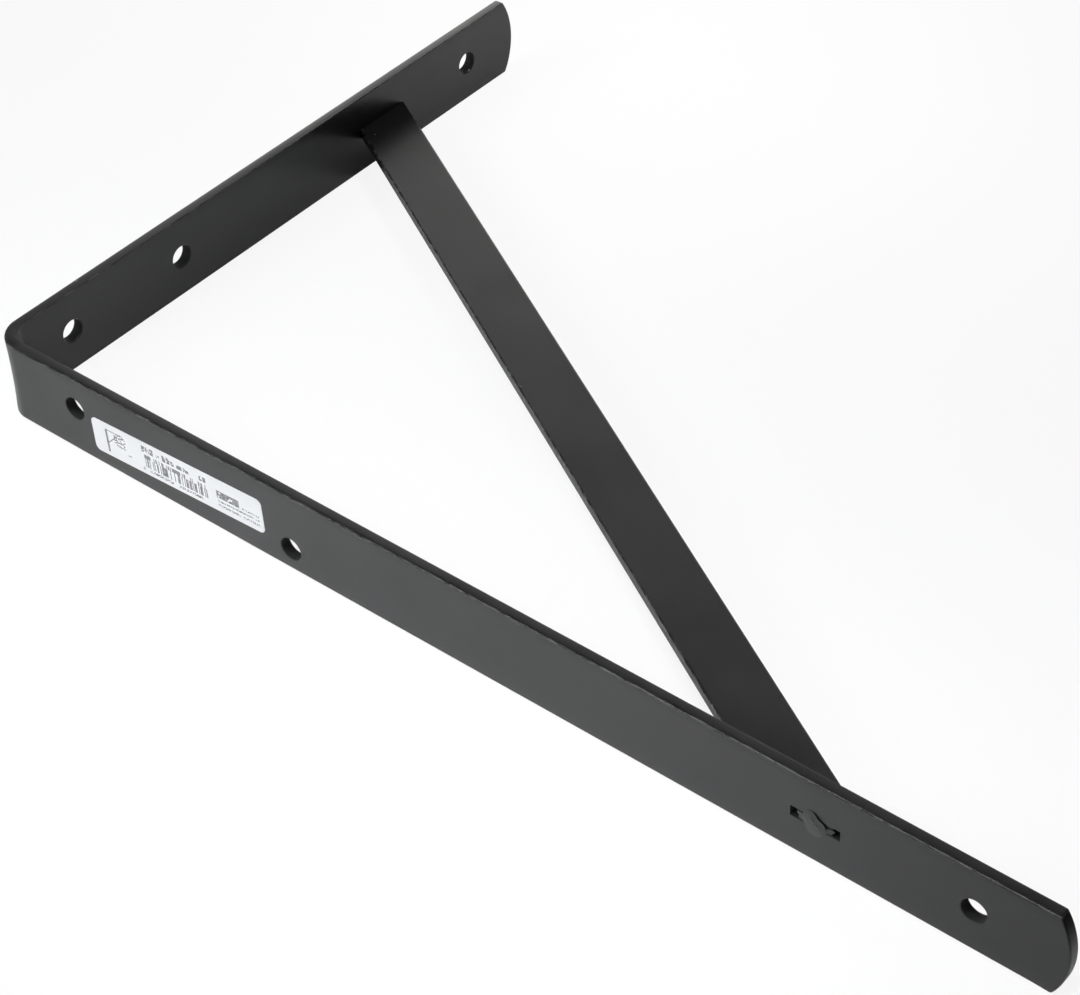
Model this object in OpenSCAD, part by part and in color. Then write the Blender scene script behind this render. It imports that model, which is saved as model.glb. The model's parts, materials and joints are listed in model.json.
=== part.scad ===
// Shelf bracket. One flat bar is folded to a right angle, and a narrower flat bar braces its two arms.
// The brace ends in tenons that pass through slots in the arms and are staked over on the outside.
// The bracket lies on its side: X runs along the long arm, Y along the short arm and Z across the bar.

/* [Angle bar] */
// Length of the long arm, from the outside of the fold to the crown of its end
long_arm = 395; // [300:5:600]
// Length of the short arm, from the outside of the fold to the crown of its end
short_arm = 255; // [190:5:400]
// Width of the flat bar
bar_w = 30; // [26:1:50]
// Thickness of the flat bar
bar_t = 4; // [3:0.5:6]
// Radius of the rolled long edges of the flat bar
bar_edge_r = 0.8; // [0.3:0.1:1.2]
// Inside radius of the fold
fold_r = 6; // [3:0.5:12]
// How far the middle of an arm's end stands proud of its corners
end_crown = 4.2; // [1:0.2:8]
// Width of the bevel along the edges of an arm's end
end_bevel = 0.4; // [0.1:0.1:1]

/* [Screw holes] */
// Diameter of the screw holes
hole_d = 8; // [5:0.5:9]
// Width of the bevel round a hole on the inner face, under the screw head
hole_bevel = 0.6; // [0.2:0.1:1.2]
// Width of the bevel round a hole on the outer face
hole_back_bevel = 0.3; // [0.1:0.1:0.6]
// Long arm, hole next to the fold: distance from the outside of the fold
long_near_at = 36; // [20:1:37]
// Long arm, hole next to the fold: height above the middle of the bar
long_near_up = 2.7; // [-6:0.1:6]
// Long arm, middle hole: distance from the outside of the fold
long_mid_at = 127; // [123:1:270]
// Long arm, middle hole: height above the middle of the bar, low enough to pass under the brace
long_mid_up = -6.6; // [-8:0.1:0]
// Long arm, hole next to the end: distance from the crown of the end
long_far_in = 28.5; // [16:0.5:50]
// Short arm, hole next to the fold: distance from the outside of the fold
short_near_at = 29.5; // [18:0.5:50]
// Short arm, middle hole: distance from the outside of the fold
short_mid_at = 80; // [65:1:160]
// Short arm, hole next to the end: distance from the crown of the end
short_far_in = 26; // [16:0.5:50]

/* [Brace] */
// Width of the brace, in the plane of the two arms
brace_w = 20; // [14:1:26]
// Thickness of the brace, across the bar
brace_t = 4; // [3:0.5:6]
// Radius of the rolled long edges of the brace
brace_edge_r = 0.8; // [0.3:0.1:1.2]
// Where the middle of the brace meets the long arm, from the crown of the arm's end
brace_long_in = 78; // [56:1:190]
// Where the middle of the brace meets the short arm, from the crown of the arm's end
brace_short_in = 71.5; // [46:0.5:135]

/* [Staked joints] */
// Length of the slots in the arms
slot_l = 16; // [13:0.5:20]
// Gap between a tenon and each long side of its slot
slot_gap = 0.7; // [0.1:0.1:1.4]
// Open pocket between a tenon and each end of its slot
pocket_l = 2.5; // [0.5:0.1:3.5]
// How far the bevel on a tenon's corner runs along the slot
tenon_bevel = 1.4; // [0.4:0.1:2]
// How deep that bevel goes into the slot
tenon_sink = 2; // [0.5:0.1:2.8]
// Diameter of the staked head
head_d = 9.6; // [9.2:0.1:14]
// How far the staked head stands proud of the arm
head_h = 0.6; // [0.3:0.1:1.5]

/* [Label] */
// Length of the label along the long arm
label_l = 73; // [40:1:74]
// Height of the label
label_h = 13; // [8:0.5:16]
// Thickness of the label
label_t = 0.15; // [0.1:0.05:0.3]
// Corner radius of the label
label_r = 2; // [0.5:0.5:3.5]
// Middle of the label: distance from the outside of the fold
label_at = 80; // [80:0.5:82]
// Middle of the label: height above the middle of the bar
label_up = -1.3; // [-3:0.1:3]
// Turn of the label on the arm, in degrees
label_turn = 2.6; // [-3:0.1:3]

/* [Hidden] */
$fn = 96;

// A cut runs this far past the faces that it goes through
through = 1;
// A tenon grows out of the brace from this far inside it
tenon_root = 2;

fold_outer_r = fold_r + bar_t;
end_r = (pow(bar_w / 2, 2) + pow(end_crown, 2)) / (2 * end_crown);
slot_h = brace_t + 2 * slot_gap;
tenon_l = slot_l - 2 * pocket_l;
head_r = (pow(head_d / 2, 2) + pow(head_h, 2)) / (2 * head_h);

// The brace's middle line crosses each arm at mid-thickness
brace_on_long = long_arm - brace_long_in;
brace_on_short = short_arm - brace_short_in;
brace_run = brace_on_long - bar_t / 2;
brace_rise = brace_on_short - bar_t / 2;
brace_angle = atan2(brace_rise, brace_run);
brace_overrun = 3 * brace_w;
brace_l = norm([brace_run, brace_rise]) + 2 * brace_overrun;

// The bracket is drawn from the outside corner of its fold and moved to the bottom centre of its box
proud = max(head_h, label_t);
centre_x = (long_arm - head_h) / 2;
centre_y = (short_arm - proud) / 2;

bar_colour = "#2e2e30";
label_colour = "#f4f4f2";

// A rectangle about its middle, with rounded corners
module rounded_rectangle(width, height, radius) {
    square([width - 2 * radius, height], center = true);
    square([width, height - 2 * radius], center = true);
    for (x = [-1, 1], y = [-1, 1])
        translate([x * (width / 2 - radius), y * (height / 2 - radius)])
            circle(radius);
}

// The section of the flat bar, with its thickness along x and its outer face at x = 0
module bar_section() {
    translate([bar_t / 2, 0])
        rounded_rectangle(bar_t, bar_w, bar_edge_r);
}

// What is drawn for the long arm, turned over onto the short arm
module on_short_arm() {
    mirror([1, -1, 0])
        children();
}

// The disc that rounds an arm's end, with both its edges bevelled
module end_disc() {
    rotate([-90, 0, 0]) {
        cylinder(r1 = end_r - end_bevel, r2 = end_r, h = end_bevel);
        translate([0, 0, end_bevel])
            cylinder(r = end_r, h = bar_t - 2 * end_bevel);
        translate([0, 0, bar_t - end_bevel])
            cylinder(r1 = end_r, r2 = end_r - end_bevel, h = end_bevel);
    }
}

// One arm along X, from the end of the fold to its crowned end, with its outer face at y = 0
module arm(length) {
    intersection() {
        translate([fold_outer_r, 0, 0])
            rotate([90, 0, 90])
                linear_extrude(length - fold_outer_r)
                    bar_section();
        union() {
            translate([0, -through, -bar_w / 2 - through])
                cube([length - end_crown - 2 * end_bevel, bar_t + 2 * through, bar_w + 2 * through]);
            translate([length - end_r, 0, 0])
                end_disc();
        }
    }
}

// The quarter turn that joins the two arms
module fold() {
    translate([fold_outer_r, fold_outer_r, 0])
        rotate([0, 0, 180])
            rotate_extrude(angle = 90)
                translate([fold_outer_r, 0])
                    mirror([1, 0])
                        bar_section();
}

// A screw hole through an arm along X, bevelled on both faces
module screw_hole(at, up = 0) {
    translate([at, 0, up])
        rotate([-90, 0, 0]) {
            translate([0, 0, -through])
                cylinder(d = hole_d, h = bar_t + 2 * through);
            translate([0, 0, -hole_back_bevel])
                cylinder(d1 = hole_d + 4 * hole_back_bevel, d2 = hole_d, h = 2 * hole_back_bevel);
            translate([0, 0, bar_t - hole_bevel])
                cylinder(d1 = hole_d, d2 = hole_d + 4 * hole_bevel, h = 2 * hole_bevel);
        }
}

// The slot that a tenon of the brace passes through, in an arm along X
module slot(at) {
    translate([at - slot_l / 2, -through, -slot_h / 2])
        cube([slot_l, bar_t + 2 * through, slot_h]);
}

module angle_bar() {
    color(bar_colour)
        difference() {
            union() {
                arm(long_arm);
                fold();
                on_short_arm()
                    arm(short_arm);
            }
            screw_hole(long_near_at, long_near_up);
            screw_hole(long_mid_at, long_mid_up);
            screw_hole(long_arm - long_far_in);
            slot(brace_on_long);
            on_short_arm() {
                screw_hole(short_near_at);
                screw_hole(short_mid_at);
                screw_hole(short_arm - short_far_in);
                slot(brace_on_short);
            }
        }
}

// A tenon through an arm along X: bevelled at its corners and closed by a low domed head outside
module staked_tenon(at) {
    half = tenon_l / 2;
    translate([at, 0, 0]) {
        linear_extrude(brace_t, center = true)
            polygon([
                [-half, bar_t + tenon_root],
                [-half, tenon_sink],
                [tenon_bevel - half, 0],
                [half - tenon_bevel, 0],
                [half, tenon_sink],
                [half, bar_t + tenon_root],
            ]);
        intersection() {
            translate([0, head_r - head_h, 0])
                sphere(head_r);
            rotate([90, 0, 0])
                cylinder(d = head_d, h = 2 * head_h);
        }
    }
}

// The straight bar of the brace, cut off flush with the inner faces of the arms
module brace_bar() {
    intersection() {
        translate([brace_on_long, bar_t / 2, 0])
            rotate([0, 0, 180 - brace_angle])
                translate([-brace_overrun, 0, 0])
                    rotate([90, 0, 90])
                        linear_extrude(brace_l)
                            rounded_rectangle(brace_w, brace_t, brace_edge_r);
        translate([bar_t, bar_t, -brace_t])
            cube([long_arm, short_arm, 2 * brace_t]);
    }
}

module brace() {
    color(bar_colour) {
        brace_bar();
        staked_tenon(brace_on_long);
        on_short_arm()
            staked_tenon(brace_on_short);
    }
}

module label() {
    color(label_colour)
        translate([label_at, 0, label_up])
            rotate([90, 0, 0])
                linear_extrude(label_t)
                    rotate(label_turn)
                        rounded_rectangle(label_l, label_h, label_r);
}

module in_frame() {
    translate([-centre_x, -centre_y, bar_w / 2])
        children();
}

in_frame() angle_bar();
in_frame() brace();
in_frame() label();
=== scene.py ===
"""The looks of a black steel shelf bracket: folded bar, staked brace, label and studio.

Pieces are drawn with the outside corner of the fold at the origin, at the middle of the bar's
width, X along the long arm and Y along the short arm, and are moved to their place at the end.
"""

import json
import math

import bmesh
import bpy
from bpy.props import FloatProperty, FloatVectorProperty, IntProperty, PointerProperty
from mathutils import Matrix, Vector, noise


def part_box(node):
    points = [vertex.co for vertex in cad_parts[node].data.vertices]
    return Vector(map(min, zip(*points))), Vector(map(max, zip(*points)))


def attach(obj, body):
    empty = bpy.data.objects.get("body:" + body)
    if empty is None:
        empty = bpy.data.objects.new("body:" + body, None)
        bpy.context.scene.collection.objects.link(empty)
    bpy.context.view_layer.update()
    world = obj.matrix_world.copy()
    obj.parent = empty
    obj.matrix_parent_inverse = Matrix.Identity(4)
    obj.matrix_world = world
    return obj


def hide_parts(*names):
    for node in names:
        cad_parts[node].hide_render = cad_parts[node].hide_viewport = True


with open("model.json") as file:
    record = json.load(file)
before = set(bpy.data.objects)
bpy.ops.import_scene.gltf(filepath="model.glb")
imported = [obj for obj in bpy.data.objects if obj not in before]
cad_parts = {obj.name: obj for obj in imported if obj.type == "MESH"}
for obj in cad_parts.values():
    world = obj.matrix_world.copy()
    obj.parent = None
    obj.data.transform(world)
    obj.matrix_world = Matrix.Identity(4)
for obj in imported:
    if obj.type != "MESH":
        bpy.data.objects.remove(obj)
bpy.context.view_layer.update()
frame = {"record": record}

bl_info = {
    "name": "Shelf Bracket",
    "version": (1, 0, 0),
    "blender": (4, 5, 0),
    "location": "View3D > Sidebar > Bracket",
    "description": "Models a braced steel shelf bracket, its finishes and a plain studio",
    "category": "Object",
}

MM = 0.001
# Two places closer than this are the same place
NEAR = 0.01 * MM
# Vertices closer than this are merged
SAME = 0.002 * MM
# An edge whose faces turn by more than this is sharp
SHARP = math.radians(28)
# Faces that turn by less than this are shaded as one
SMOOTH = math.radians(35)

BAR_LOW, BAR_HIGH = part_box("angle_bar")
LABEL_LOW, LABEL_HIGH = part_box("label")
# The outside corner of the fold, at the middle of the bar's width
CORNER = Vector((BAR_LOW.x, BAR_LOW.y, (BAR_LOW.z + BAR_HIGH.z) / 2))
# The middle, the axis and the radius of each screw hole
HOLES = [
    (Vector(mount["pos_m"]) - CORNER, Vector(mount["axis"]), mount["dims"]["r_mm"] * MM)
    for mount in frame["record"]["mounts"]
    if mount["kind"] == "bore"
]


def length(name, description, millimetres):
    """A size that a user can change, given here in millimetres."""
    return FloatProperty(
        name=name,
        description=description,
        default=millimetres * MM,
        min=0.01 * MM,
        max=1000 * MM,
        precision=5,
        unit="LENGTH",
        subtype="DISTANCE",
    )


def power(name, description, watts):
    """The power of a lamp that a user can change."""
    return FloatProperty(name=name, description=description, default=watts, min=0, unit="POWER")


def linear(code):
    """The linear colour of an sRGB hex code such as #1a2b3c."""
    parts = [int(code[i : i + 2], 16) / 255 for i in (1, 3, 5)]
    return tuple(p / 12.92 if p <= 0.04045 else ((p + 0.055) / 1.055) ** 2.4 for p in parts)


def colour(name, description, code):
    """A colour that a user can change, given here as an sRGB hex code."""
    return FloatVectorProperty(
        name=name,
        description=description,
        default=linear(code),
        size=3,
        min=0,
        max=1,
        subtype="COLOR",
    )


class FoldedBarSizes(bpy.types.PropertyGroup):
    long_arm: length(
        "Long arm", "Outside of the fold to the crown of the end", (BAR_HIGH.x - BAR_LOW.x) / MM
    )
    short_arm: length(
        "Short arm", "Outside of the fold to the crown of the end", (BAR_HIGH.y - BAR_LOW.y) / MM
    )
    width: length("Width", "Width of the flat bar", (BAR_HIGH.z - BAR_LOW.z) / MM)
    thickness: length("Thickness", "Thickness of the flat bar", 4)
    fold_radius: length("Fold radius", "Inside radius of the fold", 6)
    fold_dish: length("Fold dish", "How far the fold pulls in at the middle of its width", 0.55)
    end_crown: length("End crown", "How far an end stands proud of its corners", 4.2)
    end_round: length("End rounding", "Rounding of the rims of the two ends", 0.6)
    rolled_edge: length("Rolled edge", "Radius of the rolled long edges", 0.8)
    edge_drop: length("Edge drop", "How far the broad faces drop at the long edges", 0.09)
    edge_fall: length("Edge fall", "How far from the long edges this drop begins", 3.6)
    edge_crown: length("Edge crown", "How far a narrow edge stands proud in its middle", 0.06)
    fold_slope: length("Fold slope", "How far the bend draws the fold's outer rim down", 0.7)
    fold_sink: length("Fold sink", "How far the bend draws the long arm's edges down", 0.3)
    fold_reach: length("Fold reach", "How far along the long arm it draws them down", 26)
    short_lean: length("Short lean", "How far the short arm's edges lean in at the fold", 0.28)
    lean_reach: length("Lean reach", "How far along the short arm they lean in", 100)
    tip_slope: length("Tip slope", "How far the short arm's edges lean out at its tip", 0.3)
    tip_start: length("Tip start", "How far past the fold they begin to lean out", 90)
    tip_run: length("Tip run", "How far they take to lean out by the tip slope", 60)
    sides: IntProperty(
        name="Sides of a round",
        description="Vertices round a hole or a head",
        default=72,
        min=12,
        max=256,
    )

    @property
    def outer(self):
        """Outside radius of the fold."""
        return self.fold_radius + self.thickness


class BraceSizes(bpy.types.PropertyGroup):
    width: length("Width", "Width of the brace in the plane of the arms", 20)
    thickness: length("Thickness", "Thickness of the brace", 4)
    rolled_edge: length("Rolled edge", "Radius of the rolled long edges", 0.8)
    on_long: length("On the long arm", "Outside of the fold to the middle of the brace", 317)
    on_short: length("On the short arm", "Outside of the fold to the middle of the brace", 183.5)
    slot_length: length("Slot length", "Length of the slots in the arms", 16)
    slot_height: length("Slot height", "Height of the slots in the arms", 5.4)
    slot_taper: length("Slot taper", "How far each side of a slot closes in over its depth", 0.6)
    tenon_length: length("Tenon length", "Length of a tenon along its slot", 11)
    head_length: length("Head length", "Size of a staked head along the arm", 7.8)
    head_height: length("Head height", "Size of a staked head across the arm", 9.6)
    head_proud: length("Head proud", "How far a staked head stands proud of the arm", 0.6)


class LabelSizes(bpy.types.PropertyGroup):
    width: length("Width", "Length of the label along the arm", 73)
    height: length("Height", "Height of the label", 13)
    thickness: length("Thickness", "Thickness of the label", 0.15)
    corner: length("Corner", "Corner radius of the label", 2)
    turn: FloatProperty(
        name="Turn",
        description="How far the label is stuck on out of line",
        default=math.radians(2.6),
        unit="ROTATION",
        subtype="ANGLE",
    )


class FinishColours(bpy.types.PropertyGroup):
    coating: colour("Coating", "Black powder coating", "#0c0c0d")
    # Lighter grey on the arrises: partly coating rubbed thin, partly a painted highlight on the
    # rolled edges
    worn_and_highlit_arris: colour("Thin coating", "Coating rubbed thin along an arris", "#4c4c4d")
    dust: colour("Dust", "Grit and dust held by the coating", "#8f8e8a")
    paper: colour("Paper", "Face of the label", "#fafbfc")
    ink: colour("Ink", "Print on the label", "#303033")
    floor: colour("Floor", "Studio floor", "#f1f1f1")


class StudioSettings(bpy.types.PropertyGroup):
    key_power: power("Key power", "Power of the front left softbox", 26.0)
    top_power: power("Top power", "Power of the softbox above", 0.40)
    back_power: power("Back power", "Power of the lamp over the short arm", 0.145)


# Working in object mode and in edit mode


def close_edit():
    """Goes back to object mode."""
    bpy.ops.object.mode_set(mode="OBJECT")


def deselect_all():
    """Leaves every object alone, the frame's own nodes among them."""
    if bpy.context.mode != "OBJECT":
        close_edit()
    bpy.ops.object.select_all(action="DESELECT")


def only(piece):
    """Makes one piece the selected and active one."""
    deselect_all()
    piece.select_set(True)
    bpy.context.view_layer.objects.active = piece


def open_edit(piece):
    """Opens one piece in edit mode."""
    only(piece)
    bpy.ops.object.mode_set(mode="EDIT")


def open_new(name):
    """Takes the primitive just added, moves its place into its mesh and opens it in edit mode."""
    piece = bpy.context.active_object
    piece.name = piece.data.name = name
    bpy.ops.object.transform_apply(location=True, rotation=True, scale=True)
    bpy.ops.object.mode_set(mode="EDIT")
    return piece


def pick(piece, kind, test):
    """Selects, in edit mode, the edges or faces that pass a test and nothing else."""
    bpy.ops.mesh.select_mode(type=kind)
    bpy.ops.mesh.select_all(action="DESELECT")
    mesh = bmesh.from_edit_mesh(piece.data)
    found = [part for part in {"EDGE": mesh.edges, "FACE": mesh.faces}[kind] if test(part)]
    if not found:
        raise RuntimeError(f"{piece.name}: nothing was found to shape")
    for part in found:
        part.select_set(True)
    mesh.select_flush_mode()
    bmesh.update_edit_mesh(piece.data)


def pick_all():
    """Selects the whole mesh in edit mode."""
    bpy.ops.mesh.select_all(action="SELECT")


def lies_at(axis, reach):
    """A test for the edges that lie at one place along an axis."""
    return lambda edge: all(abs(v.co[axis] - reach) < NEAR for v in edge.verts)


def middle(part):
    """The middle of an edge or a face."""
    return sum((v.co for v in part.verts), Vector()) / len(part.verts)


def extrude(x=0, y=0, z=0):
    """Extrudes what is selected."""
    bpy.ops.mesh.extrude_region_move(TRANSFORM_OT_translate={"value": (x, y, z)})


def face_outwards():
    """Turns all faces of the mesh in edit mode outwards."""
    pick_all()
    bpy.ops.mesh.normals_make_consistent(inside=False)


def shift_vertices(piece, move):
    """Gives each vertex the place that a rule returns for it."""
    mesh = bmesh.from_edit_mesh(piece.data)
    for vertex in mesh.verts:
        vertex.co = move(vertex.co.copy())
    bmesh.update_edit_mesh(piece.data)


def modify(piece, kind, **settings):
    """Adds a modifier with its settings and applies it."""
    only(piece)
    bpy.ops.object.modifier_add(type=kind)
    modifier = piece.modifiers[-1]
    for name, value in settings.items():
        setattr(modifier, name, value)
    bpy.ops.object.modifier_apply(modifier=modifier.name)


def roll_edges(piece, radius, share):
    """Rounds each sharp edge of the piece in edit mode by its share of a radius."""
    mesh = bmesh.from_edit_mesh(piece.data)
    layers = mesh.edges.layers.float
    layer = layers.get("bevel_weight_edge") or layers.new("bevel_weight_edge")
    for edge in mesh.edges:
        sharp = len(edge.link_faces) == 2 and edge.calc_face_angle() > SHARP
        edge[layer] = share(edge) if sharp else 0
    bmesh.update_edit_mesh(piece.data)
    modify(
        piece, "BEVEL", limit_method="WEIGHT", width=radius, segments=4, use_clamp_overlap=False
    )


def join(pieces, name):
    """Joins pieces to one, which takes the name."""
    deselect_all()
    for piece in pieces:
        piece.select_set(True)
    bpy.context.view_layer.objects.active = pieces[0]
    bpy.ops.object.join()
    pieces[0].name = pieces[0].data.name = name
    return pieces[0]


def cut(piece, cutter, operation="DIFFERENCE"):
    """Takes the cutter's shape out of the piece, or adds it, and removes the cutter."""
    modify(piece, "BOOLEAN", operation=operation, solver="EXACT", object=cutter)
    bpy.data.objects.remove(cutter)


def finish_piece(piece, solid, material):
    """Smooths a piece, moves it to its place and hands it over in place of its solid."""
    open_edit(piece)
    pick_all()
    bpy.ops.mesh.remove_doubles(threshold=SAME)
    face_outwards()
    bpy.ops.transform.translate(value=CORNER)
    close_edit()
    bpy.ops.object.shade_smooth_by_angle(angle=SMOOTH)
    modify(piece, "WEIGHTED_NORMAL", keep_sharp=True, weight=80)
    piece.data.materials.clear()
    piece.data.materials.append(material)
    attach(piece, "root")
    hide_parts(solid)
    deselect_all()


# Marks on the mesh that the coating reads

# How far inside the arm's faces the mark on a slot's wall begins
SKIN = 0.1 * MM


def mark_arrises(piece, half, radius_at):
    """Stores on each vertex how far it is into the round of an arris, from nought to one."""
    attribute = piece.data.attributes.new("arris", "FLOAT", "POINT")
    for vertex, out in zip(piece.data.vertices, attribute.data):
        radius = radius_at(vertex.co)
        if radius:
            share = (half - abs(vertex.co.z)) / radius
            # This rises fast from both rims of the round and is one over most of it
            out.value = max(0, min(1, 5 * share * (1 - share)))


def in_hole(place, hole):
    """Whether a place is inside a screw hole or on its wall."""
    centre, axis, radius = hole
    across = place - centre
    across -= axis * across.dot(axis)
    return across.length < radius + 2 * NEAR


# The coating reads this mark for dull walls and for painted shade in the holes and slots
def mark_holes(piece, sizes, brace):
    """Stores on each vertex whether it lies on the wall of a screw hole or a slot."""
    attribute = piece.data.attributes.new("hole", "FLOAT", "POINT")
    for vertex, out in zip(piece.data.vertices, attribute.data):
        place = vertex.co
        off = min(abs(place.x - brace.on_long), abs(place.y - brace.on_short))
        if off < brace.slot_length / 2 + NEAR and abs(place.z) < brace.slot_height / 2 + NEAR:
            out.value = SKIN < depth_of(place, sizes) < sizes.thickness - SKIN
        else:
            out.value = any(in_hole(place, hole) for hole in HOLES)


# The folded bar

# Edges on the inner side of the bar and round its openings, as shares of its rolled edges
INNER_ROLL = 0.45
HOLE_INSIDE, HOLE_OUTSIDE, SLOT_RIM = 0.7, 0.4, 0.2
# Steps round the fold, cuts across an end, cuts along a narrow edge and rows over the fold's width
FOLD_STEPS, END_CUTS, EDGE_CUTS, DISH_ROWS = 30, 31, 5, 10
# Where the broad faces are split on their way down to the long edges
FALL_STEPS = (0.0, 0.3, 0.6, 0.82)


def depth_of(place, sizes):
    """How deep a place on the bar lies under its outer face."""
    if place.x > sizes.outer:
        return place.y
    if place.y > sizes.outer:
        return place.x
    return sizes.outer - math.hypot(place.x - sizes.outer, place.y - sizes.outer)


def on_inner_side(place, sizes):
    """Whether a place on the bar is nearer to its inner face."""
    return depth_of(place, sizes) > sizes.thickness / 2


def bar_outline(sizes):
    """The bar from above: the short arm, the quarter turn and the long arm as one flat strip."""
    outer, floor = sizes.outer, -sizes.width / 2
    deselect_all()
    bpy.ops.mesh.primitive_plane_add(
        size=1, location=(sizes.thickness / 2, (outer + sizes.short_arm) / 2, floor)
    )
    bpy.ops.transform.resize(value=(sizes.thickness, sizes.short_arm - outer, 1))
    bar = open_new("folded_bar")
    pick(bar, "EDGE", lies_at(1, outer))
    bpy.ops.mesh.spin(
        steps=FOLD_STEPS, angle=math.radians(90), center=(outer, outer, floor), axis=(0, 0, -1)
    )
    pick(bar, "EDGE", lies_at(0, outer))
    extrude(x=sizes.long_arm - outer)
    return bar


def crown_end(bar, axis, reach, sizes):
    """Splits an end into fine strips and rounds it off."""
    radius = ((sizes.width / 2) ** 2 + sizes.end_crown**2) / (2 * sizes.end_crown)
    at_end = lies_at(axis, reach)
    pick(bar, "EDGE", lambda e: at_end(e) and abs(e.verts[0].co.z - e.verts[1].co.z) > NEAR)
    bpy.ops.mesh.subdivide(number_cuts=END_CUTS)

    def rounded(place):
        if abs(place[axis] - reach) < NEAR:
            place[axis] = reach - radius + math.sqrt(radius**2 - place.z**2)
        return place

    shift_vertices(bar, rounded)


def split_arms(bar, brace):
    """Splits the arms across each opening, so that no face runs all the way round one."""
    places = [(centre, 0 if abs(axis.y) > 0.5 else 1) for centre, axis, _ in HOLES]
    places += [(Vector((brace.on_long, 0, 0)), 0), (Vector((0, brace.on_short, 0)), 1)]
    for place, along in places:
        normal = Vector((0, 0, 0))
        normal[along] = 1
        pick(bar, "FACE", lambda f: middle(f)[1 - along] < middle(f)[along] + NEAR)
        bpy.ops.mesh.bisect(plane_co=place, plane_no=normal)


def hole_cutters(sizes):
    """One cutter for each screw hole, where the frame has its bores."""
    cutters = []
    for centre, axis, radius in HOLES:
        deselect_all()
        bpy.ops.mesh.primitive_cylinder_add(
            vertices=sizes.sides,
            radius=radius,
            depth=3 * sizes.thickness,
            location=centre,
            rotation=axis.to_track_quat("Z", "Y").to_euler(),
        )
        cutters.append(bpy.context.active_object)
    return cutters


def slot_cutters(sizes, brace):
    """One cutter for each punched slot, closing in towards the inner face of its arm."""
    thick = sizes.thickness
    cutters = []
    for across, x, y in ((1, brace.on_long, thick / 2), (0, thick / 2, brace.on_short)):
        size = [brace.slot_length, brace.slot_length, brace.slot_height]
        size[across] = 3 * thick
        deselect_all()
        bpy.ops.mesh.primitive_cube_add(size=1, location=(x, y, 0))
        bpy.ops.transform.resize(value=size)
        cutter = open_new("slot_cutter")

        def tapered(place):
            place.z -= math.copysign(brace.slot_taper * place[across] / thick, place.z)
            return place

        shift_vertices(cutter, tapered)
        close_edit()
        cutters.append(cutter)
    return cutters


def edge_share(sizes):
    """The rule for the rounding of a sharp edge of the bar, as a share of its rolled edges."""
    long_end = sizes.long_arm - sizes.end_crown - NEAR
    short_end = sizes.short_arm - sizes.end_crown - NEAR

    def share(edge):
        place = middle(edge)
        inside = on_inner_side(place, sizes)
        if place.x > long_end or place.y > short_end:
            return 0
        if abs(place.z) > sizes.width / 2 - NEAR:
            return INNER_ROLL if inside else 1
        if any(in_hole(place, hole) for hole in HOLES):
            return HOLE_INSIDE if inside else HOLE_OUTSIDE
        return SLOT_RIM

    return share


def ease_ends(bar, sizes):
    """Rounds the rims of the two crowned ends, where the bar was cropped."""
    long_end = sizes.long_arm - sizes.end_crown - sizes.rolled_edge
    short_end = sizes.short_arm - sizes.end_crown - sizes.rolled_edge

    def on_rim(edge):
        place = middle(edge)
        at_end = place.x >= long_end or place.y >= short_end
        return at_end and edge.calc_face_angle() > math.radians(40)

    pick(bar, "EDGE", on_rim)
    bpy.ops.mesh.bevel(offset=sizes.end_round, segments=4, affect="EDGES", clamp_overlap=False)


def fall_away(bar, sizes):
    """Lets the broad faces drop a little towards their long edges, as the rolls leave them."""
    flat = sizes.width / 2 - sizes.edge_fall
    reach = sizes.edge_fall - sizes.rolled_edge
    for part in FALL_STEPS:
        for side in (-1, 1):
            pick_all()
            height = side * (flat + part * reach)
            bpy.ops.mesh.bisect(plane_co=(0, 0, height), plane_no=(0, 0, 1))

    def dropped(place):
        over = (abs(place.z) - flat) / reach
        if over <= 0:
            return place
        if place.x > sizes.outer + NEAR:
            inwards = Vector((0, 1, 0))
        elif place.y > sizes.outer + NEAR:
            inwards = Vector((1, 0, 0))
        else:
            inwards = Vector((sizes.outer - place.x, sizes.outer - place.y, 0)).normalized()
        if on_inner_side(place, sizes):
            inwards.negate()
        return place + inwards * sizes.edge_drop * min(over, 1) ** 2

    shift_vertices(bar, dropped)


def crown_edges(bar, sizes):
    """Splits the two narrow edges along their length, crowns them and lets them lean."""
    half, outer = sizes.width / 2, sizes.outer
    flat = sizes.thickness - (1 + INNER_ROLL) * sizes.rolled_edge

    def runs_across(edge):
        low, high = (v.co for v in edge.verts)
        on_top = min(abs(low.z), abs(high.z)) >= half - NEAR
        return on_top and abs((low - high).length - flat) < NEAR

    pick(bar, "EDGE", runs_across)
    bpy.ops.mesh.subdivide(number_cuts=EDGE_CUTS)

    def crowned(place):
        """Draws a place down from the crown's middle, and by the lean that the bend left."""
        up = (abs(place.z) - half + sizes.rolled_edge) / sizes.rolled_edge
        if up <= 0:
            return place
        out = 1 - depth_of(place, sizes) / sizes.thickness
        drop = sizes.edge_crown * (2 * out - 1) ** 2
        past_fold = max(place.x, place.y) - outer
        long_side = sizes.fold_slope * out + sizes.fold_sink
        short_side = sizes.short_lean * (1 - out)
        if place.x > outer + NEAR:
            drop += long_side * max(0, 1 - past_fold / sizes.fold_reach)
        elif place.y > outer + NEAR:
            drop += short_side * max(0, 1 - past_fold / sizes.lean_reach)
            to_tip = (past_fold - sizes.tip_start) / sizes.tip_run
            drop += sizes.tip_slope * out * max(0, min(1, to_tip))
        else:
            turn = math.atan2(outer - place.y, outer - place.x) / math.radians(90)
            turn = max(0, min(1, turn))
            turn = turn * turn * (3 - 2 * turn)
            drop += short_side * (1 - turn) + long_side * turn
        place.z -= math.copysign(drop * up, place.z)
        return place

    shift_vertices(bar, crowned)


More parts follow.
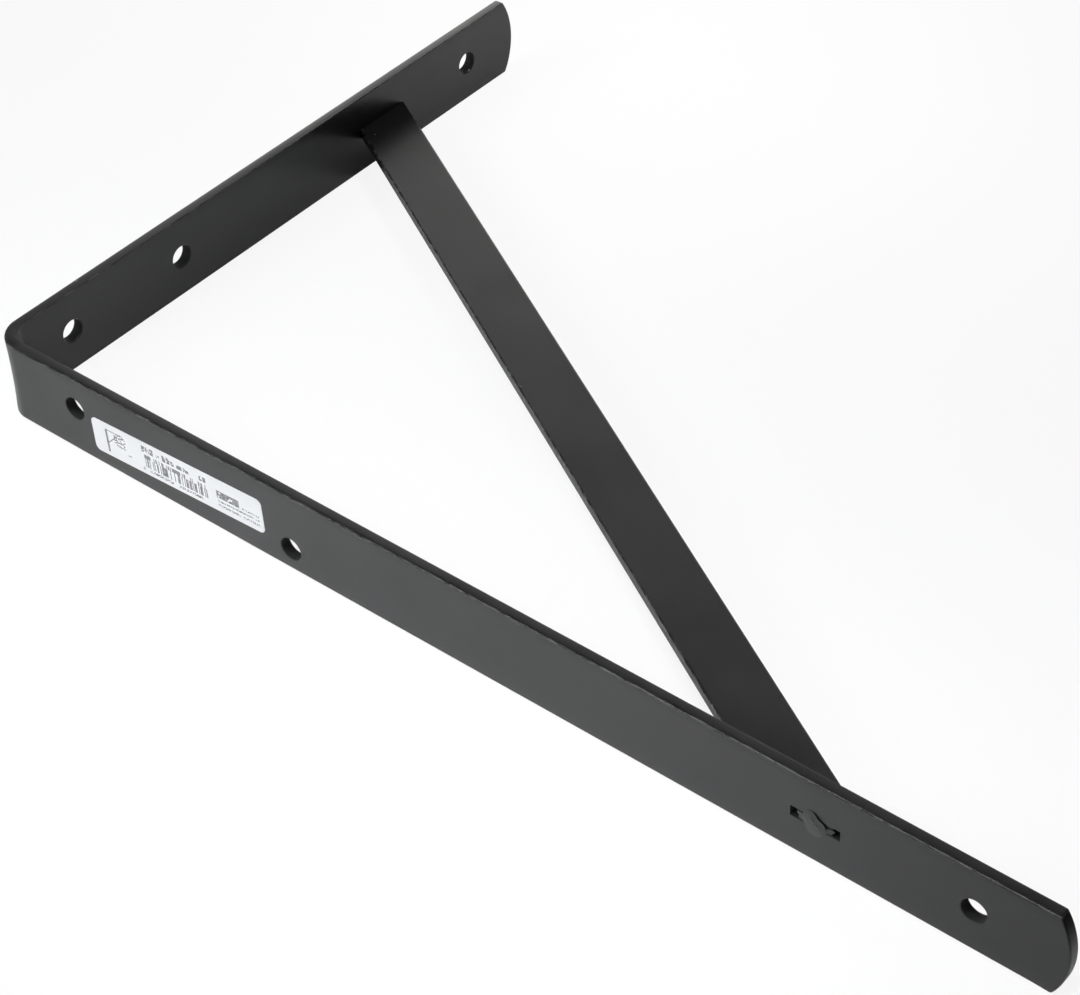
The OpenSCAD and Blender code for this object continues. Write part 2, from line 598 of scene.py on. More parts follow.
def dish_fold(bar, sizes):
    """Pulls the fold in at the middle of its width, as a thick bar does when it is bent."""

    def on_fold(face):
        place = middle(face)
        return max(place.x, place.y) < sizes.outer + NEAR and abs(face.normal.z) < 0.2

    for row in range(1 - DISH_ROWS // 2, DISH_ROWS // 2):
        pick(bar, "FACE", on_fold)
        bpy.ops.mesh.bisect(plane_co=(0, 0, row * sizes.width / DISH_ROWS), plane_no=(0, 0, 1))

    def dished(place):
        from_axis = Vector((place.x - sizes.outer, place.y - sizes.outer, 0))
        if from_axis.x > -NEAR or from_axis.y > -NEAR:
            return place
        turn = math.atan2(from_axis.y, from_axis.x)
        along = math.sin(2 * turn) ** 2
        across = 1 - (2 * place.z / sizes.width) ** 2
        return place - from_axis.normalized() * sizes.fold_dish * along * max(across, 0)

    shift_vertices(bar, dished)


class BRACKET_OT_folded_bar(bpy.types.Operator):
    """Folds the flat bar to a right angle, rounds its ends and punches its holes and slots"""

    bl_idname = "bracket.folded_bar"
    bl_label = "Folded bar"
    bl_options = {"REGISTER", "UNDO"}

    def execute(self, context):
        scene = context.scene
        sizes, brace = scene.bracket_bar, scene.bracket_brace
        bar = bar_outline(sizes)
        pick_all()
        extrude(z=sizes.width)
        face_outwards()
        crown_end(bar, 0, sizes.long_arm, sizes)
        crown_end(bar, 1, sizes.short_arm, sizes)
        split_arms(bar, brace)
        cut(bar, join(hole_cutters(sizes) + slot_cutters(sizes, brace), "punches"))
        open_edit(bar)
        roll_edges(bar, sizes.rolled_edge, edge_share(sizes))
        mark_arrises(
            bar,
            sizes.width / 2,
            lambda place: sizes.rolled_edge * (INNER_ROLL if on_inner_side(place, sizes) else 1),
        )
        open_edit(bar)
        crown_edges(bar, sizes)
        ease_ends(bar, sizes)
        fall_away(bar, sizes)
        dish_fold(bar, sizes)
        close_edit()
        mark_holes(bar, sizes, brace)
        coating = coating_material(scene.bracket_colours)
        finish_piece(bar, "angle_bar", coating)
        return {"FINISHED"}


# The brace

# The solid part of a tenon ends this far under the arm's outer face
TENON_END = 0.5 * MM
# Sharp edges across the brace, as a share of its rolled edges
CROSS_EDGE = 0.3


def brace_outline(sizes, bar):
    """The brace seen from above, cut off at the arms, with its two tenons."""
    thick, half = bar.thickness, sizes.tenon_length / 2
    run, rise = sizes.on_long - thick / 2, sizes.on_short - thick / 2
    centre = ((sizes.on_long + thick / 2) / 2, (sizes.on_short + thick / 2) / 2)
    deselect_all()
    bpy.ops.mesh.primitive_plane_add(size=1, location=(*centre, -sizes.thickness / 2))
    # Longer than it needs to be, and cut off at the arms below
    bpy.ops.transform.resize(value=(math.hypot(run, rise) + 5 * sizes.width, sizes.width, 1))
    bpy.context.active_object.rotation_euler.z = -math.atan2(rise, run)
    brace = open_new("brace_bar")
    for normal in ((-1, 0, 0), (0, -1, 0)):
        pick_all()
        bpy.ops.mesh.bisect(plane_co=(thick, thick, 0), plane_no=normal, clear_outer=True)
    for axis, at in ((1, sizes.on_long), (0, sizes.on_short)):
        along, at_arm = 1 - axis, lies_at(axis, thick)
        pick(brace, "EDGE", at_arm)
        bpy.ops.mesh.subdivide(number_cuts=2)
        mesh = bmesh.from_edit_mesh(brace.data)
        found = [v for v in mesh.verts if abs(v.co[axis] - thick) < NEAR]
        found.sort(key=lambda v: v.co[along])
        for vertex, side in zip(found[1:3], (-1, 1)):
            vertex.co[along] = at + side * half
        bmesh.update_edit_mesh(brace.data)

        def on_tenon(edge):
            return at_arm(edge) and all(abs(v.co[along] - at) < half + NEAR for v in edge.verts)

        pick(brace, "EDGE", on_tenon)
        move = [0, 0]
        move[axis] = TENON_END - thick
        extrude(*move)
    return brace


# The torn lips of a tenon beside its head, in rows that run out from the head. In millimetres:
# place along the slot, low edge, high edge, and depth under the arm's outer face
LIPS = {
    "left_lip": (
        (-3.0, -2.4, 1.4, 0.05),
        (-4.1, -1.5, 1.35, 0.12),
        (-5.0, -0.7, 1.3, 0.22),
        (-6.0, 0.15, 1.05, 0.4),
    ),
    "left_burr": ((-2.6, 1.9, 2.6, 0.05), (-3.6, 2.1, 2.6, 0.15), (-4.7, 2.35, 2.6, 0.3)),
    "right_lip": (
        (2.8, -2.2, 1.2, 0.05),
        (3.8, -1.9, 0.3, 0.18),
        (4.9, -1.4, 0.65, 0.3),
        (6.1, -0.35, 0.3, 0.5),
    ),
}
# How deep the lips reach into the slot
LIP_ROOT = 3.2 * MM


def torn_lip(name, x):
    """A torn lip of a tenon, drawn out row by row from the head towards the end of the slot."""
    start, *others = LIPS[name]
    low, high, depth = (v * MM for v in start[1:])
    deselect_all()
    bpy.ops.mesh.primitive_plane_add(
        size=1,
        location=(x + start[0] * MM, LIP_ROOT / 2, (start[1] + start[2]) / 2 * MM),
        rotation=(0, math.radians(90 if start[0] > 0 else -90), 0),
    )
    lip = open_new(name)

    def first_row(place):
        place.z = high if place.z > (low + high) / 2 else low
        place.y = LIP_ROOT if place.y > LIP_ROOT / 2 else depth
        return place

    shift_vertices(lip, first_row)
    for along, *edges in others:
        extrude(x=0)
        low, high, depth = (v * MM for v in edges)
        mesh = bmesh.from_edit_mesh(lip.data)
        chosen = [v for v in mesh.verts if v.select]
        centre = sum(v.co.z for v in chosen) / len(chosen)
        for vertex in chosen:
            upper, outside = vertex.co.z > centre, vertex.co.y < LIP_ROOT / 2
            vertex.co = (x + along * MM, depth if outside else LIP_ROOT, high if upper else low)
        bmesh.update_edit_mesh(lip.data)
    face_outwards()
    close_edit()
    modify(lip, "BEVEL", limit_method="ANGLE", width=0.12 * MM, segments=2, use_clamp_overlap=True)
    return lip


def head_height_at(along, across, sizes):
    """How far the head stands proud, at shares of its half length and half height."""
    turn = math.atan2(across, along)
    out = min(math.hypot(along, across), 1)
    # The rim is high at the upper right, where the metal overhangs, and runs out at the lower left
    rim = 0.08 + 0.62 * max(0, math.cos(turn - math.radians(52))) ** 1.5
    # The punch left a ridge from the upper left to the lower right
    off_ridge = abs(0.62 * along + 0.78 * across - 0.08)
    roof = 0.76 - 0.34 * min(off_ridge, 1)
    dome = rim + (roof - rim) * (1 - out**2.4)
    wave = 0.06 * noise.noise(Vector((along, across, 0.5)) * 2.1)
    # Its edge left a sharp crest in the middle of the ridge
    down_ridge = 0.78 * along - 0.62 * across
    crest = math.exp(-((off_ridge / 0.06) ** 2)) * math.exp(-(((down_ridge + 0.05) / 0.32) ** 4))
    return max(0.05, min(dome + wave + 0.32 * crest, 1)) * sizes.head_proud


# The rings of a head, from its rim to its middle, in millimetres
HEAD_RINGS = (0.08, 0.17, *[0.19] * 18)
# How deep a head reaches under the arm's outer face
HEAD_ROOT = 0.4 * MM


def staked_head(x, sides, sizes):
    """The end of a tenon, struck over the edges of its slot to an uneven oval head."""
    half_length, half_height = sizes.head_length / 2, sizes.head_height / 2
    deselect_all()
    bpy.ops.mesh.primitive_circle_add(
        vertices=sides,
        radius=1,
        fill_type="NGON",
        location=(x, 0, 0),
        rotation=(math.radians(90), 0, 0),
    )
    bpy.ops.transform.resize(value=(half_length, 1, half_height))
    head = open_new("head")
    pick(head, "FACE", lambda f: True)
    for inwards in HEAD_RINGS:
        bpy.ops.mesh.inset(thickness=inwards * MM, depth=0)
    bpy.ops.mesh.poke()
    pick(head, "EDGE", lambda e: e.is_boundary)
    extrude(y=HEAD_ROOT)
    pick(head, "EDGE", lambda e: e.is_boundary)
    bpy.ops.mesh.edge_face_add()

    def struck(place):
        """Blows of the punch leave the outline and the top uneven."""
        along, across = (place.x - x) / half_length, place.z / half_height
        turn, out = math.atan2(across, along), math.hypot(along, across)
        if place.y < NEAR:
            place.y = -head_height_at(along, across, sizes)
        swell = 1 + 0.05 * out * math.sin(3 * turn + 0.7) + 0.03 * out * math.sin(5 * turn)
        # Little of the metal went to the upper right
        swell -= 0.34 * out * max(0, math.cos(turn - math.radians(50))) ** 2
        place.x = x + (place.x - x) * swell
        place.z *= swell
        return place

    shift_vertices(head, struck)
    face_outwards()
    close_edit()
    return head


def on_short_arm(piece, sizes):
    """A copy of a piece on the long arm, turned over onto the short arm."""
    only(piece)
    bpy.ops.object.duplicate()
    copy = bpy.context.active_object
    copy.name = copy.data.name = piece.name + "_short"
    turned_over = Matrix(((0, 1, 0, 0), (1, 0, 0, 0), (0, 0, 1, 0), (0, 0, 0, 1)))
    down_the_arm = Matrix.Translation((0, sizes.on_short - sizes.on_long, 0))
    copy.data.transform(down_the_arm @ turned_over)
    open_edit(copy)
    face_outwards()
    close_edit()
    return copy


class BRACKET_OT_brace(bpy.types.Operator):
    """Cuts the diagonal brace to length and stakes its two tenons over the arms"""

    bl_idname = "bracket.brace"
    bl_label = "Brace and staked heads"
    bl_options = {"REGISTER", "UNDO"}

    def execute(self, context):
        scene = context.scene
        sizes, bar = scene.bracket_brace, scene.bracket_bar
        thick = bar.thickness
        brace = brace_outline(sizes, bar)
        pick_all()
        extrude(z=sizes.thickness)
        face_outwards()
        slope = Vector((sizes.on_long - thick / 2, thick / 2 - sizes.on_short, 0)).normalized()

        def share(edge):
            ends = [v.co for v in edge.verts]
            if abs((ends[0] - ends[1]).normalized().dot(slope)) > 0.999:
                return 1
            at_arm = all(min(abs(p.x - thick), abs(p.y - thick)) < NEAR for p in ends)
            return 0 if at_arm else CROSS_EDGE

        roll_edges(brace, sizes.rolled_edge, share)
        parts = [staked_head(sizes.on_long, bar.sides, sizes)]
        parts += [torn_lip(name, sizes.on_long) for name in LIPS]
        parts += [on_short_arm(part, sizes) for part in parts]
        for part in parts:
            cut(brace, part, "UNION")
        mark_arrises(
            brace,
            sizes.thickness / 2,
            lambda place: sizes.rolled_edge if min(place.x, place.y) > thick - NEAR else 0,
        )
        coating = coating_material(scene.bracket_colours)
        finish_piece(brace, "brace", coating)
        return {"FINISHED"}


# The label


class BRACKET_OT_label(bpy.types.Operator):
    """Sticks the printed paper label on the outer face of the long arm"""

    bl_idname = "bracket.label"
    bl_label = "Label"
    bl_options = {"REGISTER", "UNDO"}

    def execute(self, context):
        sizes = context.scene.bracket_label
        place = (LABEL_LOW + LABEL_HIGH) / 2 - CORNER
        place.y = 0
        deselect_all()
        bpy.ops.mesh.primitive_plane_add(size=1)
        bpy.ops.transform.resize(value=(sizes.width, sizes.height, 1))
        label = open_new("paper_label")
        pick_all()
        bpy.ops.mesh.bevel(offset=sizes.corner, segments=8, affect="VERTICES")
        pick_all()
        extrude(z=sizes.thickness)
        close_edit()
        upright = Matrix.Rotation(math.radians(90), 4, "X")
        turned = Matrix.Rotation(sizes.turn, 4, "Z")
        label.data.transform(Matrix.Translation(place) @ upright @ turned)
        paper = label_material(context.scene.bracket_colours, sizes, place + CORNER)
        finish_piece(label, "label", paper)
        return {"FINISHED"}


# Materials


def node(tree, kind, feeds=None, **settings):
    """Adds a node with its settings and inputs. A node that feeds it gives its first output."""
    made = tree.nodes.new("ShaderNode" + kind)
    for name, value in settings.items():
        setattr(made, name, value)
    for key, value in (feeds or {}).items():
        if isinstance(value, bpy.types.Node):
            value = value.outputs[0]
        if isinstance(value, bpy.types.NodeSocket):
            tree.links.new(value, made.inputs[key])
        else:
            made.inputs[key].default_value = value
    return made


def per_metre(millimetres):
    """A pattern's scale, from the real size of one of its cells."""
    return 1000 / millimetres


def new_material(name):
    """An empty material and its nodes."""
    material = bpy.data.materials.new(name)
    material.use_nodes = True
    material.node_tree.nodes.clear()
    return material, material.node_tree


def coating_material(colours):
    """Polyester powder coating, sprayed on and baked on steel.

    It gives the eye a deep black with a satin sheen, a faint orange peel and the slow waves of the
    rolled bar under it. It holds grit. Its arrises are painted lighter in broken lines, partly as
    coating rubbed thin and partly as a painted highlight, and the walls of its holes and slots are
    painted darker as painted shade.
    """
    name = "black powder coating"
    if name in bpy.data.materials:
        return bpy.data.materials[name]
    material, tree = new_material(name)
    place = node(tree, "TexCoord").outputs["Object"]
    arris = node(tree, "Attribute", attribute_name="arris").outputs["Fac"]
    hole = node(tree, "Attribute", attribute_name="hole").outputs["Fac"]

    # Rub marks and the flow of the baked powder, about 30 mm across
    flow = {"Vector": place, "Scale": per_metre(30), "Detail": 4.0, "Roughness": 0.6}
    flow = node(tree, "TexNoise", flow)
    sheen = node(tree, "MapRange", {0: flow, 1: 0.3, 2: 0.7, 3: 0.30, 4: 0.40})
    # The arrises are burnished, and the walls of the holes are left dull
    sheen = node(tree, "Math", {0: arris, 1: -0.17, 2: sheen}, operation="MULTIPLY_ADD")
    sheen = node(tree, "Math", {0: hole, 1: 0.5, 2: sheen}, operation="MULTIPLY_ADD")

    # Grit under the coating, grains of about 0.3 mm with 8 mm between them
    moved = node(tree, "VectorMath", {0: place, 1: (0.0031, 0.0017, 0.0044)}, operation="ADD")
    cells = node(tree, "TexVoronoi", {"Vector": moved, "Scale": per_metre(8)}).outputs
    grain = node(tree, "MapRange", {0: cells["Distance"], 1: 0.015, 2: 0.03, 3: 1.0, 4: 0.0})
    some = node(tree, "Math", {0: cells["Color"], 1: 0.66}, operation="GREATER_THAN")
    grit = node(tree, "Math", {0: grain, 1: some}, operation="MULTIPLY")

    # Broken lines along the arrises are painted lighter: partly coating rubbed thin, partly a
    # painted highlight on the rolled edges
    broken = {"Vector": place, "Scale": per_metre(4), "Detail": 5.0, "Roughness": 0.7}
    broken = node(tree, "TexNoise", broken)
    wear_and_highlight_breaks = node(tree, "MapRange", {0: broken, 1: 0.44, 2: 0.62, 3: 0.0, 4: 0.85})
    arris_wear_and_highlight = node(tree, "Math", {0: wear_and_highlight_breaks, 1: arris}, operation="MULTIPLY")

    tone = node(tree, "MapRange", {0: flow, 1: 0.3, 2: 0.7, 3: 0.82, 4: 1.2})
    # The walls of the holes and slots are painted darker: painted shade in these recesses
    tone = node(tree, "Math", {0: hole, 1: -0.8, 2: tone}, operation="MULTIPLY_ADD")
    black = node(tree, "VectorMath", {0: tuple(colours.coating), "Scale": tone}, operation="SCALE")
    # The wear and the painted highlight on the arrises are mixed into the black here
    wear_and_highlight_colour = {"Factor": arris_wear_and_highlight, 6: black, 7: (*colours.worn_and_highlit_arris, 1)}
    wear_and_highlight_colour = node(tree, "Mix", wear_and_highlight_colour, data_type="RGBA").outputs[2]
    gritty = {"Factor": grit, 6: wear_and_highlight_colour, 7: (*colours.dust, 1)}
    gritty = node(tree, "Mix", gritty, data_type="RGBA").outputs[2]

    # Slow waves of the bar, 26 mm long, under orange peel of 1.8 mm. The arrises are knocked here
    # and there, in dents of 1.5 mm, and the grit stands out in nibs
    waves = {"Vector": place, "Scale": per_metre(26), "Detail": 1.0}
    peel = {"Vector": place, "Scale": per_metre(1.8), "Detail": 2.0}
    knocks = {"Vector": place, "Scale": per_metre(1.5), "Detail": 2.0}
    waves, peel, knocks = (node(tree, "TexNoise", feeds) for feeds in (waves, peel, knocks))
    knocked = node(tree, "Math", {0: knocks, 1: arris}, operation="MULTIPLY")
    relief = None
    for height, depth in ((waves, 0.10), (peel, 0.012), (knocked, 0.2), (grit, 0.04)):
        under = {"Normal": relief} if relief else {}
        feeds = {"Strength": 1.0, "Distance": depth * MM, "Height": height, **under}
        relief = node(tree, "Bump", feeds)

    feeds = {"Base Color": gritty, "Roughness": sheen, "IOR": 1.5, "Normal": relief}
    shader = node(tree, "BsdfPrincipled", feeds)
    node(tree, "OutputMaterial", {"Surface": shader})
    return material


def together(tree, masks, operation="MAXIMUM"):
    """Several masks as one."""
    whole = masks[0]
    for mask in masks[1:]:
        whole = node(tree, "Math", {0: whole, 1: mask}, operation=operation)
    return whole


def printed_area(tree, across, up, box):
    """One inside a box of the label, given in millimetres from its middle, and nought outside."""
    left, right, low, high = (v * MM for v in box)
    sides = []
    for value, start, end in ((across, left, right), (up, low, high)):
        feeds = {0: value, 1: (start + end) / 2, 2: (end - start) / 2}
        sides.append(node(tree, "Math", feeds, operation="COMPARE"))
    return together(tree, sides, "MULTIPLY")


def printed_cells(tree, own, wide, high, share):
    """Random cells: bars where they are tall, and unreadable print where they are small."""
    cell = node(tree, "VectorMath", {0: own, 1: (wide * MM, 1, high * MM)}, operation="DIVIDE")
    whole = node(tree, "VectorMath", {0: cell}, operation="FLOOR")
    chance = node(tree, "TexWhiteNoise", {"Vector": whole}, noise_dimensions="3D")
    return node(tree, "Math", {0: chance, 1: share}, operation="LESS_THAN")


# Where the print stands on the label, in millimetres from its middle: left, right, low, high
SOLID_MARKS = (
    (-30.7, -29.8, -4.9, 4.1),
    (-29.8, -23.2, 3.75, 4.05),
    (-25.4, -22.0, -1.0, -0.7),
    (-21.4, -19.9, -2.8, -2.4),
    (17.2, 26.6, 1.5, 1.9),
    (17.2, 26.6, -1.0, -0.7),
    (17.2, 17.6, -1.0, 1.9),
    (26.2, 26.6, -1.0, 1.9),
)
LARGE_PRINT = (
    (-14.6, -13.2, 2.4, 4.8),
    (-12.8, -11.4, 2.4, 4.8),
    (-11.0, -9.6, 2.4, 4.8),
    (-8.2, -7.0, 2.4, 3.8),
    (-5.6, -4.2, 2.4, 4.8),
    (-3.8, -2.4, 2.4, 4.8),
    (-2.0, -0.6, 2.4, 4.8),
    (0.5, 2.9, 2.4, 4.0),
    (3.3, 5.7, 2.4, 4.0),
    (10.2, 11.4, 2.4, 4.4),
    (11.8, 13.0, 2.4, 4.4),
)
SMALL_PRINT = (
    (-15.2, -14.4, -5.1, -3.9),
    (-12.2, -2.0, -5.1, -4.1),
    (0.2, 10.6, -5.1, -4.1),
    (27.8, 34.8, -1.0, -0.3),
    (17.4, 34.9, -2.6, -1.8),
    (17.4, 34.9, -4.3, -3.5),
)
# Printed in cells: their width and height in millimetres, the share that is inked, and the boxes.
# Bars of 0.36 mm, signs with strokes of 0.47 mm and 0.3 mm that spell nothing, and a dark field
CELL_PRINT = (
    (0.36, 100, 0.52, [(-13.9, 13.1, -3.5, 1.5)]),
    (0.47, 0.6, 0.72, LARGE_PRINT),
    (0.3, 0.4, 0.5, SMALL_PRINT),
    (0.7, 0.8, 0.85, [(17.6, 26.2, -0.7, 1.5)]),
)
# The box that the sketch's slanting strut is drawn in
STRUT_BOX = (-29.8, -24.6, -2.0, 3.9)


def label_material(colours, sizes, centre):
    """Coated white paper with thermal print.

    It gives the eye a clean white strip with a soft sheen, grey bars, small print and a sketch.
    """
    material, tree = new_material("printed label paper")
    place = node(tree, "TexCoord").outputs["Object"]
    # The label's own place: X along it from its middle and Z up it, in metres
    own = {"Vector": place, "Location": centre, "Rotation": (0, -sizes.turn, 0)}
    own = node(tree, "Mapping", own, vector_type="TEXTURE").outputs[0]
    parts = node(tree, "SeparateXYZ", {0: own}).outputs
    across, up = parts["X"], parts["Z"]

    def areas(boxes):
        return together(tree, [printed_area(tree, across, up, box) for box in boxes])

    prints = [areas(SOLID_MARKS)]
    for wide, high, share, boxes in CELL_PRINT:
        cells = printed_cells(tree, own, wide, high, share)
        prints.append(together(tree, [areas(boxes), cells], "MULTIPLY"))

    # The sketch beside the upright bar: a round load of 5.4 mm and the slanting strut under it
    off_load = {0: own, 1: (-24.6 * MM, 0, 1.6 * MM)}
    off_load = node(tree, "VectorMath", off_load, operation="DISTANCE").outputs["Value"]
    disc = node(tree, "Math", {0: off_load, 1: 2.7 * MM}, operation="LESS_THAN")
    cells = printed_cells(tree, own, 0.5, 0.5, 0.42)
    prints.append(together(tree, [disc, cells], "MULTIPLY"))
    slope = node(tree, "Math", {0: across, 1: -0.95, 2: up}, operation="MULTIPLY_ADD")
    line = node(tree, "Math", {0: slope, 1: 27.3 * MM, 2: 0.22 * MM}, operation="COMPARE")
    prints.append(together(tree, [line, areas([STRUT_BOX])], "MULTIPLY"))

    # The ink is thinner in spots of about 0.8 mm
    spots = node(tree, "TexNoise", {"Vector": place, "Scale": per_metre(0.8), "Detail": 2.0})
    depth = node(tree, "MapRange", {0: spots, 1: 0.3, 2: 0.7, 3: 0.62, 4: 0.95})
    ink = together(tree, [together(tree, prints), depth], "MULTIPLY")
    base = {"Factor": ink, 6: (*colours.paper, 1), 7: (*colours.ink, 1)}
    base = node(tree, "Mix", base, data_type="RGBA").outputs[2]
    # Paper fibres, drawn as coarse as 0.6 mm so that they show
    fibres = node(tree, "TexNoise", {"Vector": place, "Scale": per_metre(0.6), "Detail": 3.0})
    grain = node(tree, "Bump", {"Strength": 1.0, "Distance": 0.01 * MM, "Height": fibres})
    feeds = {"Base Color": base, "Roughness": 0.42, "IOR": 1.5, "Normal": grain}
    shader = node(tree, "BsdfPrincipled", feeds)
    node(tree, "OutputMaterial", {"Surface": shader})
    return material


# The places between which the paper sheet fades on the right and in front, in metres
SHEET_RIGHT = (0.205, 0.26)
SHEET_FRONT = (-0.42, -0.24)


def floor_material(colours):
    """Matt white paper sweep.

    It gives the eye a clean white that still holds the bracket's soft shadow. The sheet ends a
    little in front of the bracket and to its right, and the coating mirrors a dim room beyond it.
    """
    material, tree = new_material("white paper sweep")
    soft = {"interpolation_type": "SMOOTHSTEP"}
    place = node(tree, "TexCoord").outputs["Object"]
    parts = node(tree, "SeparateXYZ", {0: place}).outputs
    right = {0: parts["X"], 1: SHEET_RIGHT[0], 2: SHEET_RIGHT[1], 3: 1.0, 4: 0.0}
    right = node(tree, "MapRange", right, **soft)
    sheet = {0: parts["Y"], 1: SHEET_FRONT[0], 2: SHEET_FRONT[1], 3: 0.0, 4: right}
    sheet = node(tree, "MapRange", sheet, **soft)
    tone = node(tree, "VectorMath", {0: tuple(colours.floor), "Scale": sheet}, operation="SCALE")
    lit = node(tree, "BsdfDiffuse", {"Color": tone})
    glow = node(tree, "Emission", {"Color": (1, 1, 1, 1), "Strength": 1.0})
    path = node(tree, "LightPath").outputs
    # The camera sees white with the shadow left in it, and plain white past the sheet's end
    seen = node(tree, "MapRange", {0: sheet, 1: 0.0, 2: 1.0, 3: 1.0, 4: 0.88})
    share = node(tree, "Math", {0: path["Is Camera Ray"], 1: seen}, operation="MULTIPLY")
    faint = node(tree, "Math", {0: sheet, 1: 0.1}, operation="MULTIPLY")
    # Far back on the left the sheet runs up to the white wall, and the coating mirrors it there
    back = {0: place, 1: (-0.6, 0.8, 0)}
    back = node(tree, "VectorMath", back, operation="DOT_PRODUCT").outputs["Value"]
    faint = node(tree, "MapRange", {0: back, 1: 0.35, 2: 0.8, 3: faint, 4: 0.95}, **soft)
    for ray in ("Is Glossy Ray", "Is Transmission Ray"):
        feeds = {0: path[ray], 1: faint, 2: share}
        share = node(tree, "Math", feeds, operation="MULTIPLY_ADD")
    both = node(tree, "MixShader", {0: share, 1: lit, 2: glow})
    node(tree, "OutputMaterial", {"Surface": both})
    return material


# The studio

# Soft patches of light in the room: where each one lies, the cosines of the angles at which it
# begins and is full, and its strength
WHITE_WALL = ((-0.59, 0.78, 0.208), 0.68, 0.99, 0.48)
GREY_WALL = ((0.5, 0.6, 0.62), 0.78, 0.96, 0.2)
LEFT_WALL = ((-0.92, -0.25, 0.28), 0.75, 0.96, 0.5)
LIT_PART = ((-0.6, 0.8, 0.2), 0.84, 0.96, 2.3)
# Heights of a direction between which the lit part fades out
LIT_HEIGHT = (0.40, 0.55)
ROOM_LEVEL = 0.06


def studio_world():
    """A dim room with a white wall, lit low down, at the back on the left, and a grey one."""
    world = bpy.data.worlds.new("dim room and white wall")
    world.use_nodes = True
    tree = world.node_tree
    tree.nodes.clear()
    soft = {"interpolation_type": "SMOOTHSTEP"}
    way = node(tree, "TexCoord").outputs["Generated"]

    def patch(towards, begin, full, value):
        """A soft patch of light round a direction."""
        near = {0: way, 1: Vector(towards).normalized()}
        near = node(tree, "VectorMath", near, operation="DOT_PRODUCT").outputs["Value"]
        return node(tree, "MapRange", {0: near, 1: begin, 2: full, 3: 0.0, 4: value}, **soft)

    height = node(tree, "SeparateXYZ", {0: way}).outputs["Z"]
    low_down = {0: height, 1: LIT_HEIGHT[0], 2: LIT_HEIGHT[1], 3: 1.0, 4: 0.0}
    low_down = node(tree, "MapRange", low_down, **soft)
    lit_part = together(tree, [patch(*LIT_PART), low_down], "MULTIPLY")
    walls = [patch(*wall) for wall in (WHITE_WALL, GREY_WALL, LEFT_WALL)]
    level = together(tree, [*walls, lit_part, ROOM_LEVEL], "ADD")
    # The camera sees plain white behind the bracket
    seen = node(tree, "LightPath").outputs["Is Camera Ray"]
    strength = together(tree, [level, seen])
    back = node(tree, "Background", {"Color": (1, 0.99, 0.975, 1), "Strength": strength})
    node(tree, "OutputWorld", {"Surface": back})
    return world


def softbox(name, place, aim, width, height, watts, tint=(1, 1, 1), spread=180):
    """A soft rectangular lamp that points at a place."""
    data = bpy.data.lights.new(name, "AREA")
    data.shape = "RECTANGLE"
    data.size, data.size_y = width, height
    data.energy = watts
    data.color = tint
    data.spread = math.radians(spread)
    lamp = bpy.data.objects.new(name, data)
    lamp.location = place
    lamp.rotation_mode = "QUATERNION"
    lamp.rotation_quaternion = (Vector(aim) - Vector(place)).to_track_quat("-Z", "Y")
    bpy.context.scene.collection.objects.link(lamp)


def stand_camera():
    """The camera where the photograph was taken from, fitted to the bracket's outlines in it."""
    data = bpy.data.cameras.new("camera")
    data.sensor_width = 36
    data.lens = 92.789
    data.shift_x, data.shift_y = -0.0321, -0.0380
    data.clip_start, data.clip_end = 0.05, 50
    camera = bpy.data.objects.new("camera", data)
    across = Vector((0.78412, 0.6203, -0.0195))
    down = Vector((0.3929, -0.5205, -0.75809))
    ahead = Vector((-0.48039, 0.58677, -0.65186))
    turned = Matrix((across, -down, -ahead)).transposed().to_4x4()
    camera.matrix_world = Matrix.Translation((0.386575, -0.549706, 0.571929)) @ turned
    bpy.context.scene.collection.objects.link(camera)
    bpy.context.scene.camera = camera


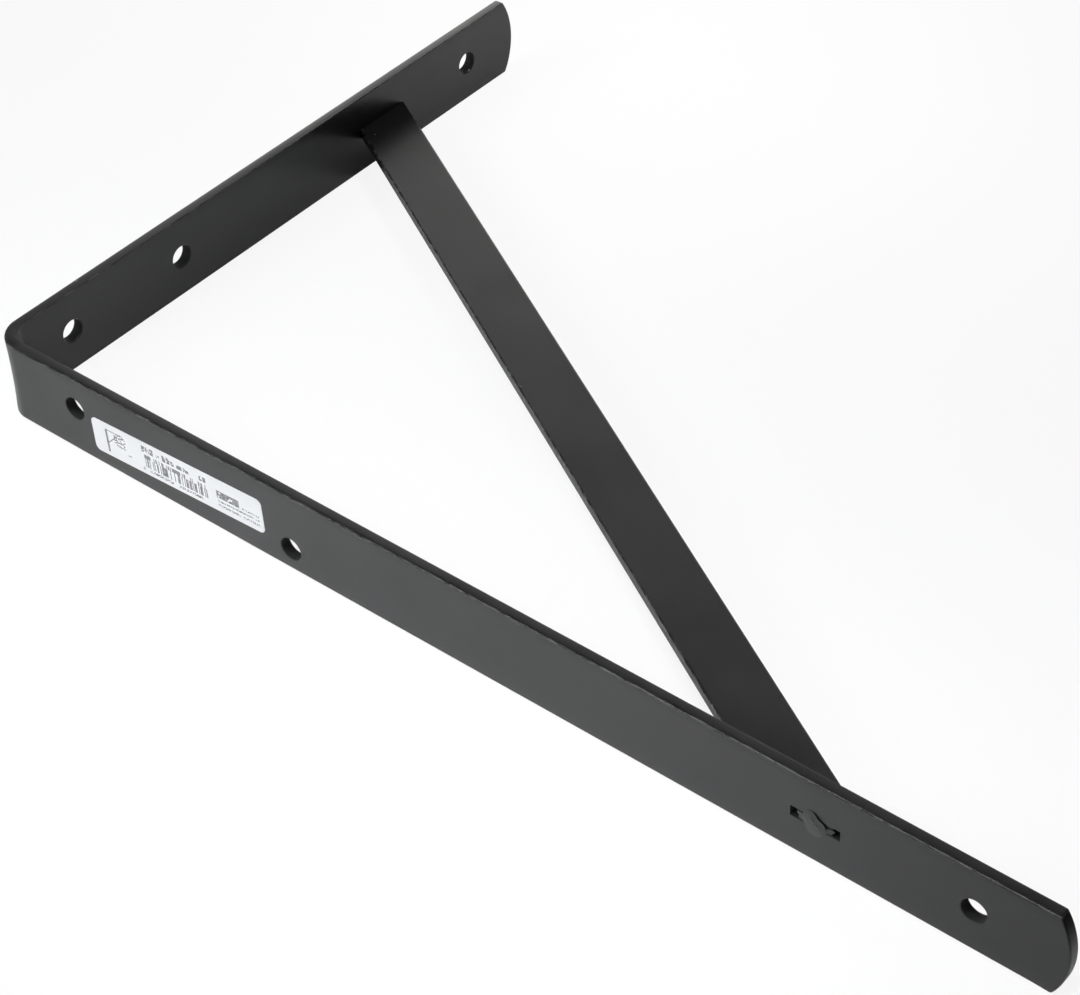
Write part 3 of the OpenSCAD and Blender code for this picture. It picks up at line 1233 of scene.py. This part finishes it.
class BRACKET_OT_studio(bpy.types.Operator):
    """Lays the floor, hangs the lamps and stands the camera"""

    bl_idname = "bracket.studio"
    bl_label = "Studio"
    bl_options = {"REGISTER", "UNDO"}

    def execute(self, context):
        scene = context.scene
        studio = scene.bracket_studio
        deselect_all()
        bpy.ops.mesh.primitive_plane_add(size=6, location=(0, 0, -0.1 * MM))
        floor = context.active_object
        floor.name = floor.data.name = "floor"
        floor.data.materials.append(floor_material(scene.bracket_colours))
        scene.world = studio_world()
        cool = (0.94, 0.98, 1.0)
        softbox("key", (-0.82, -1.60, 1.30), (0, 0, 0), 1.3, 0.9, studio.key_power, cool)
        top, under_top = (-0.02, -0.42, 1.15), (-0.04, -0.20, 0)
        softbox("top", top, under_top, 0.44, 0.2, studio.top_power, spread=20)
        back, under_back = (-0.05, 0.32, 1.10), (-0.15, 0.16, 0)
        softbox("back", back, under_back, 0.2, 0.2, studio.back_power, spread=22)
        stand_camera()
        scene.view_settings.view_transform = "Standard"
        return {"FINISHED"}


class BRACKET_PT_sidebar(bpy.types.Panel):
    """The bracket's pieces, their sizes and their colours"""

    bl_idname = "BRACKET_PT_sidebar"
    bl_label = "Shelf bracket"
    bl_space_type = "VIEW_3D"
    bl_region_type = "UI"
    bl_category = "Bracket"

    def draw(self, context):
        scene = context.scene
        for title, group, operator in (
            ("Folded bar", scene.bracket_bar, "bracket.folded_bar"),
            ("Brace", scene.bracket_brace, "bracket.brace"),
            ("Label", scene.bracket_label, "bracket.label"),
            ("Studio", scene.bracket_studio, "bracket.studio"),
            ("Colours", scene.bracket_colours, None),
        ):
            box = self.layout.box()
            box.label(text=title)
            for name in group.bl_rna.properties.keys():
                if name not in {"rna_type", "name"}:
                    box.prop(group, name)
            if operator:
                box.operator(operator)


GROUPS = {
    "bracket_bar": FoldedBarSizes,
    "bracket_brace": BraceSizes,
    "bracket_label": LabelSizes,
    "bracket_colours": FinishColours,
    "bracket_studio": StudioSettings,
}
CLASSES = (
    *GROUPS.values(),
    BRACKET_OT_folded_bar,
    BRACKET_OT_brace,
    BRACKET_OT_label,
    BRACKET_OT_studio,
    BRACKET_PT_sidebar,
)


def register():
    for kind in CLASSES:
        bpy.utils.register_class(kind)
    for name, group in GROUPS.items():
        setattr(bpy.types.Scene, name, PointerProperty(type=group))


def unregister():
    for name in GROUPS:
        delattr(bpy.types.Scene, name)
    for kind in reversed(CLASSES):
        bpy.utils.unregister_class(kind)


def main():
    register()
    bpy.ops.bracket.studio()
    bpy.ops.bracket.folded_bar()
    bpy.ops.bracket.brace()
    bpy.ops.bracket.label()


if __name__ == "__main__":
    main()
